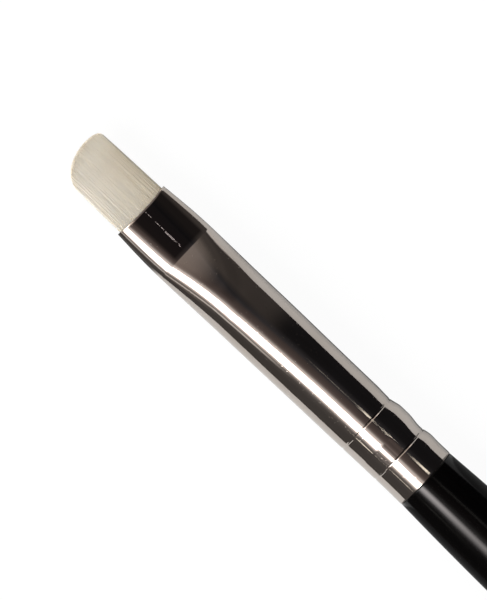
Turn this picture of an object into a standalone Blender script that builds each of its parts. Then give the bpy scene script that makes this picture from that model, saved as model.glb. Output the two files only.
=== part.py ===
"""Flat nail art brush, made of the five pieces that the real one is assembled from.

Units are metres and +Z is up. The brush lies along X: its hair points to -X and the tail of its
handle to +X, and the pressed flats of the ferrule face up and down. The origin is on the surface
that the brush lies on, halfway along its length.
"""

import math

import bmesh
import bpy
from mathutils import Matrix
from mathutils import Vector

MM = 0.001

# Ferrule: a seamless tapered tube, pressed to a wedge round the hair and crimped round the handle
FERRULE_LENGTH = 33.5 * MM
WALL = 0.2 * MM
TUBE_DIAMETER = 6.1 * MM
MOUTH_WIDTH = 5.7 * MM
MOUTH_THICKNESS = 2.1 * MM
MOUTH_FLAT = 1.9 * MM
MOUTH_DIP = 0.22 * MM
WEDGE_LENGTH = 5.3 * MM
CREASE_WIDTH = 6.2 * MM
CREASE_THICKNESS = 3.1 * MM
CREASE_FLAT = 1.5 * MM
BLEND_LENGTH = 7.2 * MM

# Crimps: two rolled grooves with a bead behind each, placed from the rear rim
NECK_DIAMETER = 5.95 * MM
GROOVE_DIAMETER = 5.84 * MM
GROOVE_RUN_IN = 0.4 * MM
FRONT_GROOVE_TO_RIM = 6.9 * MM
REAR_GROOVE_TO_RIM = 3.05 * MM
BEAD_DIAMETER = 6.12 * MM
RIM_DIAMETER = 6.02 * MM
RIM_ROUND = 0.06 * MM

# Handle: turned wood, with a tenon that fills the back of the ferrule. It slims fastest behind its
# belly, so the brush lies on its belly and its tail.
HANDLE_LENGTH = 134.0 * MM
SHOULDER_DIAMETER = 6.0 * MM
SHOULDER_ROUND = 0.15 * MM
BELLY_DIAMETER = 7.0 * MM
BELLY_AT = 20.0 * MM
TAPER_POWER = 0.9
TAIL_DIAMETER = 3.8 * MM
TAIL_DOME = 2.2 * MM
TENON_LENGTH = 13.0 * MM
TENON_CHAMFER = 0.6 * MM

# Hair: nylon filaments, spread flat in the mouth and tied round at their roots
HAIR_OUT = 7.55 * MM
HAIR_TIP_WIDTH = 5.0 * MM
HAIR_TIP_THICKNESS = 0.75 * MM
TIP_CREST_OFFSET = 0.85 * MM
TIP_DROP_SQUARE_SIDE = 0.8 * MM
TIP_POWER_SQUARE_SIDE = 2.5
TIP_DROP_ROUND_SIDE = 2.4 * MM
TIP_POWER_ROUND_SIDE = 2
OUTER_LAYER_DROP = 0.2 * MM
STRAND_DIAMETER = 0.115 * MM
STRAND_TIP_DIAMETER = 0.05 * MM
STRAND_PITCH = 0.139 * MM
STRAND_BITE = 0.4 * MM
ROOT_BLOCK_SETBACK = 0.6 * MM
NECKING_LENGTH = 3.4 * MM
HAIR_IN_FERRULE = 11.6 * MM

# Thread that ties the roots, and the resin poured in behind them
THREAD_DIAMETER = 0.25 * MM
THREAD_TURNS = 4
THREAD_TO_ROOT_END = 0.5 * MM
RESIN_COVER = 2.2 * MM
RESIN_BEHIND_ROOTS = 2.4 * MM

# Clearance between neighbouring pieces, which glue and resin fill on the real brush
SEAT_GAP = 0.1 * MM

# Facets: sides are a multiple of 4, and each section has a facet square to Y and one square to Z.
# Turned pieces have the wider facets, and lie still on them.
LOFT_SIDES = 36
TURNED_SIDES = 24
MOUTH_FACETS = 9
WEDGE_STEPS = 4
BLEND_STEPS = 8
TUBE_STEPS = 3
BEAD_STEPS = 6
BEAD_PEAK = 0.35
SHOULDER_STEPS = 3
BELLY_STEPS = 7
TAPER_STEPS = 12
DOME_STEPS = 5
NECKING_STEPS = 5
PLUG_STEPS = 4
RIB_STEPS = 3
STRAND_SIDES = 4
MERGE_DISTANCE = 0.001 * MM
SMOOTH_UNDER = math.radians(25)

# Places along the brush, measured from the ferrule's mouth towards the tail
BLEND_END = WEDGE_LENGTH + BLEND_LENGTH
FRONT_GROOVE = FERRULE_LENGTH - FRONT_GROOVE_TO_RIM
REAR_GROOVE = FERRULE_LENGTH - REAR_GROOVE_TO_RIM
SHOULDER = FERRULE_LENGTH + SEAT_GAP
TAIL_END = FERRULE_LENGTH + HANDLE_LENGTH
TENON_END = FERRULE_LENGTH - TENON_LENGTH
AXIS_HEIGHT = max(BELLY_DIAMETER, BEAD_DIAMETER, TUBE_DIAMETER, SHOULDER_DIAMETER) / 2
MOUTH_X = HAIR_OUT - (HAIR_OUT + TAIL_END) / 2


def mix(start, end, share):
    """Value a share of the way from start to end."""
    return start + (end - start) * share


def ease(share):
    """Share that leaves and arrives gently."""
    return share * share * (3 - 2 * share)


def ease_out(share):
    """Share that leaves at once and arrives gently."""
    return math.sin(share * math.pi / 2)


def steps(count):
    """Even shares from 0 to 1."""
    return [i / count for i in range(count + 1)]


def across_corners(sides):
    """Distance to a polygon's corner as a multiple of the distance to its facet."""
    return 1 / math.cos(math.pi / sides)


def mix_sections(start, end, share):
    """Section a share of the way from start to end."""
    return tuple(mix(a, b, share) for a, b in zip(start, end))


def round_section(diameter):
    """Section of a round piece."""
    return diameter / 2, diameter / 2, 0


def inset(section, by):
    """Section whose outline runs inside the given one, with its flats as wide."""
    half_width, half_thickness, half_flat = section
    return half_width - by, half_thickness - by, half_flat


def bead_diameter(share, end_diameter):
    """Diameter over a bead that rises steeply from a groove and falls slowly to end_diameter."""
    if share < BEAD_PEAK:
        return mix(GROOVE_DIAMETER, BEAD_DIAMETER, ease_out(share / BEAD_PEAK))
    return mix(BEAD_DIAMETER, end_diameter, ease((share - BEAD_PEAK) / (1 - BEAD_PEAK)))


def tube_diameter(s):
    """Outside diameter of the ferrule's round stretch at a distance s behind the mouth."""
    run_in = FRONT_GROOVE - GROOVE_RUN_IN
    if s <= run_in:
        return mix(TUBE_DIAMETER, NECK_DIAMETER, ease((s - BLEND_END) / (run_in - BLEND_END)))
    if s <= FRONT_GROOVE:
        return mix(NECK_DIAMETER, GROOVE_DIAMETER, (s - run_in) / GROOVE_RUN_IN)
    if s <= REAR_GROOVE:
        return bead_diameter((s - FRONT_GROOVE) / (REAR_GROOVE - FRONT_GROOVE), GROOVE_DIAMETER)
    return bead_diameter((s - REAR_GROOVE) / (FERRULE_LENGTH - REAR_GROOVE), RIM_DIAMETER)


def ferrule_section(s):
    """Outside of the ferrule at a distance s behind the mouth.

    A section is a half width, a half thickness and the half width of its flats. Beyond its flats
    it is half an ellipse on each side, and with no flats and equal halves it is a circle.
    """
    if s <= WEDGE_LENGTH:
        share = s / WEDGE_LENGTH
        width = mix(MOUTH_WIDTH, CREASE_WIDTH, ease_out(share))
        thickness = mix(MOUTH_THICKNESS, CREASE_THICKNESS, share)
        return width / 2, thickness / 2, mix(MOUTH_FLAT, CREASE_FLAT, share) / 2
    if s < BLEND_END:
        share = (s - WEDGE_LENGTH) / BLEND_LENGTH
        width = mix(CREASE_WIDTH, TUBE_DIAMETER, ease(share))
        thickness = mix(CREASE_THICKNESS, TUBE_DIAMETER, ease_out(share))
        return width / 2, thickness / 2, mix(CREASE_FLAT, 0, ease_out(share)) / 2
    return round_section(tube_diameter(s))


def held_section(s):
    """Section of a piece that the ferrule holds at a distance s behind the mouth."""
    return inset(ferrule_section(s), WALL + SEAT_GAP)


def crimp_stations():
    """Distances behind the mouth where the crimped end changes shape, front to back."""
    front_bead = [mix(FRONT_GROOVE, REAR_GROOVE, share) for share in steps(BEAD_STEPS)]
    rear_bead = [mix(REAR_GROOVE, FERRULE_LENGTH - RIM_ROUND, share) for share in steps(BEAD_STEPS)]
    return [FRONT_GROOVE - GROOVE_RUN_IN] + front_bead + rear_bead[1:]


def ferrule_stations():
    """Distances behind the mouth of every ring of the ferrule, apart from its rim."""
    wedge = [WEDGE_LENGTH * share for share in steps(WEDGE_STEPS)]
    blend = [mix(WEDGE_LENGTH, BLEND_END, share) for share in steps(BLEND_STEPS)[1:]]
    crimps = crimp_stations()
    tube = [mix(BLEND_END, crimps[0], share) for share in steps(TUBE_STEPS)[1:-1]]
    return wedge + blend + tube + crimps


def section_ring(s, section):
    """Points round a section across the brush, whose facets touch the section's halves."""
    half_width, half_thickness, half_flat = section
    ring = []
    for i in range(LOFT_SIDES):
        angle = (i + 0.5) * 2 * math.pi / LOFT_SIDES
        y = (half_width - half_flat) * across_corners(LOFT_SIDES) * math.cos(angle)
        z = half_thickness * across_corners(LOFT_SIDES) * math.sin(angle)
        ring.append(Vector((s, y + math.copysign(half_flat, y), z)))
    return ring


def loft(name, rings, is_tube=False):
    """Skins a chain of rings. A tube's last ring meets its first, and any other chain is capped."""
    bm = bmesh.new()
    loops = [[bm.verts.new(point) for point in ring] for ring in rings]
    following = loops[1:] + loops[:1] if is_tube else loops[1:]
    for loop, next_loop in zip(loops, following):
        for i in range(LOFT_SIDES):
            j = (i + 1) % LOFT_SIDES
            bm.faces.new((loop[i], loop[j], next_loop[j], next_loop[i]))
    if not is_tube:
        bm.faces.new(reversed(loops[0]))
        bm.faces.new(loops[-1])
    bmesh.ops.recalc_face_normals(bm, faces=bm.faces)
    return mesh_object(name, bm)


def mesh_object(name, bm):
    """Object made from a bmesh, shaded smooth apart from its sharp edges."""
    mesh = bpy.data.meshes.new(name)
    bm.to_mesh(mesh)
    bm.free()
    mesh.shade_smooth()
    mesh.set_sharp_from_angle(angle=SMOOTH_UNDER)
    return bpy.data.objects.new(name, mesh)


def turned(name, profile, is_ring=False):
    """Turns a profile of (s, radius to a facet) round the brush's axis. A ring's profile is closed."""
    mesh = bpy.data.meshes.new(name)
    points = [(s, 0, radius * across_corners(TURNED_SIDES)) for s, radius in reversed(profile)]
    edges = [(i, i + 1) for i in range(len(points) - 1)]
    if is_ring:
        edges.append((len(points) - 1, 0))
    mesh.from_pydata(points, edges, [])
    turned_object = bpy.data.objects.new(name, mesh)
    turned_object.rotation_euler.x = math.pi / TURNED_SIDES
    screw = turned_object.modifiers.new("Turn", "SCREW")
    screw.axis = "X"
    screw.angle = 2 * math.pi
    screw.steps = TURNED_SIDES
    screw.render_steps = TURNED_SIDES
    screw.use_merge_vertices = True
    screw.merge_threshold = MERGE_DISTANCE
    return turned_object


def make_mouth_cutter():
    """Drum that trims the mouth to a shallow arc, set back by MOUTH_DIP at the middle."""
    half_width = MOUTH_WIDTH / 2
    radius = (half_width ** 2 + MOUTH_DIP ** 2) / (2 * MOUTH_DIP)
    facet = MOUTH_WIDTH / MOUTH_FACETS
    bm = bmesh.new()
    bmesh.ops.create_cone(
        bm,
        cap_ends=True,
        segments=round(2 * math.pi * radius / facet),
        radius1=radius,
        radius2=radius,
        depth=2 * MOUTH_THICKNESS,
        matrix=Matrix.Translation((MOUTH_DIP - radius, 0, 0)),
    )
    return mesh_object("mouth_cutter", bm)


def make_ferrule():
    """Pressed tube with an even wall and a rounded rear rim. The crimps pinch its bore as well."""
    outside = [section_ring(s, ferrule_section(s)) for s in ferrule_stations()]
    inside = [section_ring(s, inset(ferrule_section(s), WALL)) for s in ferrule_stations()]
    rim = round_section(RIM_DIAMETER)
    outside.append(section_ring(FERRULE_LENGTH, inset(rim, RIM_ROUND)))
    inside.append(section_ring(FERRULE_LENGTH, inset(rim, WALL)))
    return loft("ferrule", outside + inside[::-1], is_tube=True)


def handle_radius(behind_rim):
    """Radius of the handle outside the ferrule, up to where the tail's dome starts."""
    if behind_rim < BELLY_AT:
        left = 1 - behind_rim / BELLY_AT
        return mix(BELLY_DIAMETER, SHOULDER_DIAMETER, left * left) / 2
    share = (behind_rim - BELLY_AT) / (HANDLE_LENGTH - TAIL_DOME - BELLY_AT)
    return mix(BELLY_DIAMETER, TAIL_DIAMETER, share ** TAPER_POWER) / 2


def tenon_profile():
    """Profile of the tenon, which follows the bore, so the crimps lock into grooves in the wood."""
    chamfer_end = TENON_END + TENON_CHAMFER
    radius = held_section(chamfer_end)[1]
    profile = [(TENON_END, 0), (TENON_END, radius - TENON_CHAMFER), (chamfer_end, radius)]
    profile += [(s, held_section(s)[1]) for s in crimp_stations() if s > chamfer_end]
    profile.append((SHOULDER, profile[-1][1]))
    return profile


def make_handle():
    """Turned handle: a tenon, a shoulder against the ferrule, a belly and a long taper."""
    profile = tenon_profile()
    round_end = SEAT_GAP + SHOULDER_ROUND
    for share in steps(SHOULDER_STEPS):
        turn = (1 - share) * math.pi / 2
        s = SHOULDER + SHOULDER_ROUND * (1 - math.sin(turn))
        profile.append((s, handle_radius(round_end) - SHOULDER_ROUND * (1 - math.cos(turn))))
    belly = [mix(round_end, BELLY_AT, share) for share in steps(BELLY_STEPS)[1:]]
    taper = [mix(BELLY_AT, HANDLE_LENGTH - TAIL_DOME, share) for share in steps(TAPER_STEPS)[1:]]
    profile += [(FERRULE_LENGTH + behind, handle_radius(behind)) for behind in belly + taper]
    for share in steps(DOME_STEPS)[1:-1]:
        turn = share * math.pi / 2
        s = TAIL_END - TAIL_DOME * (1 - math.sin(turn))
        profile.append((s, TAIL_DIAMETER / 2 * math.cos(turn)))
    profile.append((TAIL_END, 0))
    return turned("handle", profile)


def bundle_radius():
    """Radius of the hair packed round, with the same section area as in the mouth."""
    half_width, half_thickness, half_flat = held_section(0)
    ends = math.pi * (half_width - half_flat) * half_thickness
    return math.sqrt((ends + 4 * half_flat * half_thickness) / math.pi)


def make_root_block():
    """Roots of the hair, set solid: flat in the mouth, then drawn in to a round bundle."""
    wedge = [mix(ROOT_BLOCK_SETBACK, WEDGE_LENGTH, share) for share in steps(WEDGE_STEPS)]
    rings = [section_ring(s, held_section(s)) for s in wedge]
    bundle = round_section(2 * bundle_radius())
    for share in steps(NECKING_STEPS)[1:]:
        section = mix_sections(held_section(WEDGE_LENGTH), bundle, ease(share))
        rings.append(section_ring(WEDGE_LENGTH + share * NECKING_LENGTH, section))
    rings.append(section_ring(HAIR_IN_FERRULE, bundle))
    return loft("bristle_tuft", rings)


def tip_drop(y):
    """How far the hair's end falls back from its crest at a distance y across the brush.

    Each side is a quarter of a superellipse, and a higher power gives a squarer corner.
    """
    if y > TIP_CREST_OFFSET:
        drop, power, edge = TIP_DROP_SQUARE_SIDE, TIP_POWER_SQUARE_SIDE, HAIR_TIP_WIDTH / 2
    else:
        drop, power, edge = TIP_DROP_ROUND_SIDE, TIP_POWER_ROUND_SIDE, -HAIR_TIP_WIDTH / 2
    share = min((y - TIP_CREST_OFFSET) / (edge - TIP_CREST_OFFSET), 1)
    return drop * (1 - (1 - share ** power) ** (1 / power))


def strand_ends():
    """Root and tip of each strand: rows stacked like pipes, and drawn together towards the tip."""
    half_width, half_thickness, half_flat = inset(held_section(ROOT_BLOCK_SETBACK), STRAND_DIAMETER / 2)
    row_height = STRAND_PITCH * math.sqrt(3) / 2
    rows = int(2 * half_thickness / row_height) + 1
    ends = []
    for row in range(rows):
        z = (row - (rows - 1) / 2) * row_height
        layer = z / half_thickness
        reach = half_flat + (half_width - half_flat) * math.sqrt(1 - layer * layer)
        stagger = STRAND_PITCH / 2 * (row % 2)
        last = int((reach - stagger) / STRAND_PITCH)
        first = -int((reach + stagger) / STRAND_PITCH)
        for i in range(first, last + 1):
            y = i * STRAND_PITCH + stagger
            tip_y = y / half_width * HAIR_TIP_WIDTH / 2
            tip_s = tip_drop(tip_y) + OUTER_LAYER_DROP * layer * layer - HAIR_OUT
            root = Vector((ROOT_BLOCK_SETBACK + STRAND_BITE, y, z))
            ends.append((root, Vector((tip_s, tip_y, layer * HAIR_TIP_THICKNESS / 2))))
    return ends


def make_strands():
    """Every filament as a slim four-sided cone, with its root inside the root block."""
    bm = bmesh.new()
    for root, tip in strand_ends():
        along = tip - root
        turn = along.to_track_quat("Z", "Y").to_matrix().to_4x4()
        bmesh.ops.create_cone(
            bm,
            cap_ends=True,
            segments=STRAND_SIDES,
            radius1=STRAND_DIAMETER / 2,
            radius2=STRAND_TIP_DIAMETER / 2,
            depth=along.length,
            matrix=Matrix.Translation((root + tip) / 2) @ turn,
        )
    return mesh_object("strands", bm)


def make_root_binding():
    """Thread wound round the root bundle, as a band with one rib for each turn."""
    thread = THREAD_DIAMETER / 2
    seat = bundle_radius() + SEAT_GAP
    end = HAIR_IN_FERRULE - THREAD_TO_ROOT_END
    front = end - THREAD_TURNS * THREAD_DIAMETER
    profile = [(front, seat)]
    for turn in range(THREAD_TURNS):
        middle = front + (turn + 0.5) * THREAD_DIAMETER
        for share in steps(RIB_STEPS)[1:-1]:
            angle = share * math.pi
            profile.append((middle - thread * math.cos(angle), seat + thread + thread * math.sin(angle)))
        profile.append((middle + thread, seat + thread))
    profile[-1] = (end, seat + thread)
    profile.insert(1, (front, seat + thread))
    profile.append((end, seat))
    return turned("root_binding", profile, is_ring=True)


def make_resin_plug():
    """Resin cast against the bore, with a pocket that holds the tied roots."""
    pocket = round_section(2 * (bundle_radius() + SEAT_GAP + THREAD_DIAMETER + SEAT_GAP))
    front = HAIR_IN_FERRULE - RESIN_COVER
    back = HAIR_IN_FERRULE + RESIN_BEHIND_ROOTS
    rings = [section_ring(HAIR_IN_FERRULE + SEAT_GAP, pocket), section_ring(front, pocket)]
    for share in steps(PLUG_STEPS):
        s = mix(front, back, share)
        rings.append(section_ring(s, held_section(s)))
    return loft("resin_plug", rings)


def boolean(target, other, operation):
    """Cuts other from target, or joins it on, leaving other as a hidden helper."""
    modifier = target.modifiers.new(other.name, "BOOLEAN")
    modifier.object = other
    modifier.operation = operation
    other.hide_render = True
    other.display_type = "WIRE"


def material(name, color, roughness, metallic=0.0):
    """Plain Principled material."""
    made = bpy.data.materials.new(name)
    made.use_nodes = True
    shader = made.node_tree.nodes["Principled BSDF"]
    shader.inputs["Base Color"].default_value = (*color, 1)
    shader.inputs["Roughness"].default_value = roughness
    shader.inputs["Metallic"].default_value = metallic
    return made


def new_collection(name):
    """Collection linked to the scene."""
    made = bpy.data.collections.new(name)
    bpy.context.scene.collection.children.link(made)
    return made


def build():
    """Makes the brush, with every piece parented to an empty at the middle of the mouth."""
    for old in list(bpy.data.objects):
        bpy.data.objects.remove(old)
    pieces = new_collection("nail_art_brush")
    helpers = new_collection("cutters")

    mouth = bpy.data.objects.new("mouth_centre", None)
    mouth.location = (MOUTH_X, 0, AXIS_HEIGHT)
    pieces.objects.link(mouth)

    ferrule = make_ferrule()
    mouth_cutter = make_mouth_cutter()
    boolean(ferrule, mouth_cutter, "DIFFERENCE")
    tuft = make_root_block()
    strands = make_strands()
    boolean(tuft, strands, "UNION")

    finishes = {
        ferrule: material("bright_nickel", (0.62, 0.59, 0.56), 0.12, 1.0),
        tuft: material("ivory_nylon", (0.72, 0.66, 0.55), 0.55),
        make_handle(): material("black_lacquer", (0.006, 0.005, 0.006), 0.08),
        make_root_binding(): material("cotton_thread", (0.7, 0.66, 0.58), 0.9),
        make_resin_plug(): material("amber_resin", (0.45, 0.27, 0.08), 0.2),
    }
    for piece, finish in finishes.items():
        piece.data.materials.append(finish)
        piece.parent = mouth
        pieces.objects.link(piece)
    for helper in (mouth_cutter, strands):
        helper.parent = mouth
        helpers.objects.link(helper)


build()
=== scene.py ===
# %% [markdown]
# # A flat nail art brush
#
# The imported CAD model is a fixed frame: it holds the brush at its real size, in metres. The brush
# lies along X with its hair towards -X, its pressed flats face up and down, and the table top is
# at a height of 0. The pieces that show are modelled over that frame, given a finish, and shown
# instead of the plain CAD solids.

# %% Load the frame
import math
import random

import bmesh
import bpy
from mathutils import Matrix, Vector


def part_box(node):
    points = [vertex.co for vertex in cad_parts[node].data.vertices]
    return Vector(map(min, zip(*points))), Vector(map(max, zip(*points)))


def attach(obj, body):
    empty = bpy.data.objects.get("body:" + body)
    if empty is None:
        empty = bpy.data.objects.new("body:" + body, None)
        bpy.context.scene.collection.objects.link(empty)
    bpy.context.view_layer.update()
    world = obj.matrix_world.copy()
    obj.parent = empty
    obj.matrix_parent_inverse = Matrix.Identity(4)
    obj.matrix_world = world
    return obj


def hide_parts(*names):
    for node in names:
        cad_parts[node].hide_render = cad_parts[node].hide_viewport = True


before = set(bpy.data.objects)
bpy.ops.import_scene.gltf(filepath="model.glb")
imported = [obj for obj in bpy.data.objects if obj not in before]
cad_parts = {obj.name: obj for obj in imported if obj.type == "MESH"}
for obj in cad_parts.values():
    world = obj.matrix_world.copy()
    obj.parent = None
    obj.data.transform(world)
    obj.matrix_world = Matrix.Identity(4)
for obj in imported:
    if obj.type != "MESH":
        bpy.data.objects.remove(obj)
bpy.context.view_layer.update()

MM = 0.001
print("nodes:", ", ".join(sorted(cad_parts)))

# %% [markdown]
# Two measures place everything: where the ferrule's mouth is, and how high the brush's axis lies.
# Both are read from the CAD boxes, so the pieces can't drift from the frame. From here on, `s` is
# a distance in millimetres behind the mouth, so the hair has negative values and the handle has
# large ones.

# %% Find the mouth and the axis
ferrule_low, ferrule_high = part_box("ferrule")
handle_low, handle_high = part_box("handle")
MOUTH_X = ferrule_low.x
AXIS_Z = (handle_low.z + handle_high.z) / 2
FERRULE_LENGTH = (ferrule_high.x - MOUTH_X) / MM
TAIL_END = (handle_high.x - MOUTH_X) / MM


def on_axis(s):
    """Point on the brush's axis, s millimetres behind the ferrule's mouth."""
    return Vector((MOUTH_X + s * MM, 0, AXIS_Z))


print(f"ferrule {FERRULE_LENGTH:.1f} mm long, axis {AXIS_Z / MM:.2f} mm above the table")

# %% [markdown]
# ## The view
#
# The photograph looks straight down on the brush, which runs from the upper left to the lower
# right. So the camera hangs over the table and is turned about the vertical, not tilted. A long
# lens from 35 cm away gives the slight curve that the ferrule's rims show in the photograph. The
# sensor's width goes with the picture's longer side.

# %% Camera
PICTURE_HEIGHT = 51.4 * MM
CENTRE_AT = 11.69
CENTRE_ASIDE = 0.44
CAMERA_ABOVE_AXIS = 0.35
CAMERA_TURN = math.radians(43.29)
SENSOR = 36.0

scene = bpy.context.scene
view_centre = on_axis(CENTRE_AT) + Vector((0, CENTRE_ASIDE * MM, 0))
camera_data = bpy.data.cameras.new("camera")
camera_data.sensor_width = SENSOR
camera_data.lens = SENSOR * CAMERA_ABOVE_AXIS / PICTURE_HEIGHT
camera = bpy.data.objects.new("camera", camera_data)
camera.location = view_centre + Vector((0, 0, CAMERA_ABOVE_AXIS))
camera.rotation_euler.z = CAMERA_TURN
scene.collection.objects.link(camera)
scene.camera = camera
scene.view_settings.view_transform = "Standard"
print(f"lens {camera_data.lens:.0f} mm")

# %% [markdown]
# ## Helpers for shader nodes
#
# The floor, the lights and every finish are recipes of shader nodes. A material lies on the bench
# while it is made, and each helper adds nodes to it, sets them up and returns their output. A
# value may be a number, a colour or another node's output.

# %% The bench
bench = {}


def work_on(owner):
    """Puts a material or a world on the bench."""
    owner.use_nodes = True
    bench["tree"] = owner.node_tree


def add_node(kind):
    """New node in what lies on the bench."""
    return bench["tree"].nodes.new("ShaderNode" + kind)


def feed(value, socket):
    """Sets a socket to a number or a colour, or links another node's output to it."""
    if isinstance(value, tuple):
        socket.default_value = (*value, 1)
    elif isinstance(value, (int, float)):
        socket.default_value = value
    else:
        bench["tree"].links.new(value, socket)


def new_material(name):
    """Empty material on the bench, and its output node."""
    made = bpy.data.materials.new(name)
    work_on(made)
    made.node_tree.nodes.clear()
    return made, add_node("OutputMaterial")


print("bench ready")

# %% [markdown]
# Most of a recipe is arithmetic, which turns a place or a pattern into a strength.

# %% Arithmetic with nodes
def combine(operation, first, *others):
    """Math nodes that apply one operation to all values in turn."""
    for other in others or (0.0,):
        node = add_node("Math")
        node.operation = operation
        feed(first, node.inputs[0])
        feed(other, node.inputs[1])
        first = node.outputs[0]
    return first


def times(*values):
    """Product of values."""
    return combine("MULTIPLY", *values)


def plus(*values):
    """Sum of values."""
    return combine("ADD", *values)


def minus(value, other):
    """Value less another."""
    return combine("SUBTRACT", value, other)


def to_range(value, low, high, to_low, to_high, curve="LINEAR"):
    """Spreads a value between low and high over a new range, and clamps it there."""
    node = add_node("MapRange")
    node.interpolation_type = curve
    for setting, socket in zip((value, low, high, to_low, to_high), node.inputs):
        feed(setting, socket)
    return node.outputs[0]


def hill(value, rise, fall, curve="LINEAR"):
    """1 between two slopes and 0 outside them. A slope is the pair of its start and its end."""
    up, down = to_range(value, *rise, 0, 1, curve), to_range(value, *fall, 1, 0, curve)
    return times(up, down)


print("nodes can be combined")

# %% [markdown]
# A recipe may also ask which kind of ray sees a point, and where the point is.

# %% Rays and places
def seen_rays(*kinds):
    """1 for some kinds of rays and 0 for all others, from Light Path."""
    path = add_node("LightPath")
    marks = [path.outputs[f"Is {kind} Ray"] for kind in kinds]
    return combine("MINIMUM", plus(0.0, *marks), 1.0)


def object_place():
    """The X, Y and Z of the point that is shaded, in metres."""
    split = add_node("SeparateXYZ")
    feed(add_node("TexCoord").outputs["Object"], split.inputs[0])
    return split.outputs


def along_at(*places):
    """X of places that are given in millimetres behind the mouth."""
    return [on_axis(s).x for s in places]


def across_at(*places):
    """Y of places that are given in millimetres beside the axis."""
    return [y * MM for y in places]


print("rays and places can be read")

# %% [markdown]
# ## The table
#
# The background is plain white paper, which is brighter in the photograph than the lamps make it
# here. So the floor glows for the camera and for anything clear, and stays an ordinary matt
# surface for all other light, which keeps the shadow under the brush. A Mix Shader with Light
# Path does both. More light on the table would brighten the brush as well.

# %% Floor
FLOOR_SIZE = 8
PAPER_WHITE = (0.95, 0.95, 0.95)

bpy.ops.object.select_all(action="DESELECT")
bpy.ops.mesh.primitive_plane_add(size=FLOOR_SIZE)
floor = bpy.context.object
floor.name = "floor"
paper, output = new_material("white_paper")
matt = add_node("BsdfDiffuse")
feed(PAPER_WHITE, matt.inputs["Color"])
glow = add_node("Emission")
mixed = add_node("MixShader")
feed(matt.outputs[0], mixed.inputs[1])
feed(glow.outputs[0], mixed.inputs[2])
feed(mixed.outputs[0], output.inputs["Surface"])
floor.data.materials.append(paper)
print("white floor,", FLOOR_SIZE, "m wide")

# %% [markdown]
# The brush's polished sides mirror the paper next to it, and there it is grey, not white. So
# reflections see the floor partly covered by a much weaker glow: a painted shadow of the brush,
# which only reflections see. It is a little thicker on the far side, which is +Y. It is nearly
# full in three places. One is a strip beside the far side, which makes the dark line along the
# metal's edge. One lies under the near side of the wedge. The last is painted shade over
# everything behind the ferrule's rim, so that the lacquer mirrors nothing pale. Its border runs a
# little aslant, to follow the curve of the rim's edge.

# %% Painted shadow on the floor in reflections
FLOOR_GLOW = 0.93
SHADOWED_GLOW = 0.1
PAINTED_SHADOW_NEAR = 0.3
PAINTED_SHADOW_FAR = 0.4
PAINTED_SHADOW_STRIP = 0.97
SHADOW_STRIP_ENDS = (4.7, 5.4)
PAINTED_SHADOW_WEDGE = 0.95
WEDGE_SHADOW_ENDS = (3.6, 5.4)
PAINTED_RIM_SHADE = 0.9
RIM_SLANT = 0.06
RIM_BLUR = 0.3

# Painted shadow: these masks say how far the floor's glow is dimmed where reflections see it.
x, y, _ = object_place()
sides = to_range(y, *across_at(-1, 1), PAINTED_SHADOW_NEAR, PAINTED_SHADOW_FAR)
edge_shadow_strip = hill(y, across_at(0, 0.1), across_at(*SHADOW_STRIP_ENDS))
wedge_shadow = times(
    to_range(x, *along_at(*WEDGE_SHADOW_ENDS), PAINTED_SHADOW_WEDGE, 0),
    to_range(y, *across_at(-0.1, 0), 1, 0),
)
aslant = minus(x, times(combine("ABSOLUTE", y), RIM_SLANT))
rim_places = along_at(FERRULE_LENGTH, FERRULE_LENGTH + RIM_BLUR)
shade_behind_rim = to_range(aslant, *rim_places, 0, PAINTED_RIM_SHADE)
reflected_painted_shadow = combine("MAXIMUM", sides, shade_behind_rim, times(edge_shadow_strip, PAINTED_SHADOW_STRIP), wedge_shadow)

seen_straight = seen_rays("Camera", "Transmission")
glow_share = plus(times(seen_straight, FLOOR_GLOW), times(seen_rays("Glossy"), reflected_painted_shadow))
feed(glow_share, mixed.inputs["Fac"])
feed(to_range(seen_straight, 0, 1, SHADOWED_GLOW, 1.0), glow.inputs["Strength"])
print("reflected_painted_shadow", PAINTED_SHADOW_NEAR, "near,", PAINTED_SHADOW_FAR, "far")

# %% [markdown]
# Behind the paper's end the world is white as well. It lights the brush much less than it shows,
# because light from all sides at once would wash out every shadow.

# %% World
WORLD_LIGHT = 0.45

world = bpy.data.worlds.new("studio")
work_on(world)
background = world.node_tree.nodes["Background"]
feed((1, 1, 1), background.inputs["Color"])
shown = seen_rays("Camera", "Glossy", "Transmission")
feed(to_range(shown, 0, 1, WORLD_LIGHT, 1.0), background.inputs["Strength"])
scene.world = world
print("world light", WORLD_LIGHT)

# %% [markdown]
# ## The lamps
#
# The hair is brightest on its lower left side, so the main lamp is a large soft one on the -Y
# side. A second, weaker one beside the camera fills the shadows. Both are hidden from
# reflections, because the bright metal gets its own light tent next.

# %% Two soft lamps
LAMPS_AIM_AT = 10


def soft_lamp(name, place, size, power):
    """Square area lamp that points at the ferrule."""
    data = bpy.data.lights.new(name, "AREA")
    data.size = size
    data.energy = power
    lamp = bpy.data.objects.new(name, data)
    lamp.location = place
    outward = lamp.location - on_axis(LAMPS_AIM_AT)
    lamp.rotation_euler = outward.to_track_quat("Z", "Y").to_euler()
    lamp.visible_glossy = False
    scene.collection.objects.link(lamp)


soft_lamp("key_lamp", (-0.10, -0.42, 0.48), size=0.45, power=4.0)
soft_lamp("fill_lamp", (-0.05, 0.12, 0.70), size=0.40, power=1.4)
print(len(bpy.data.lights), "lamps")

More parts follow.
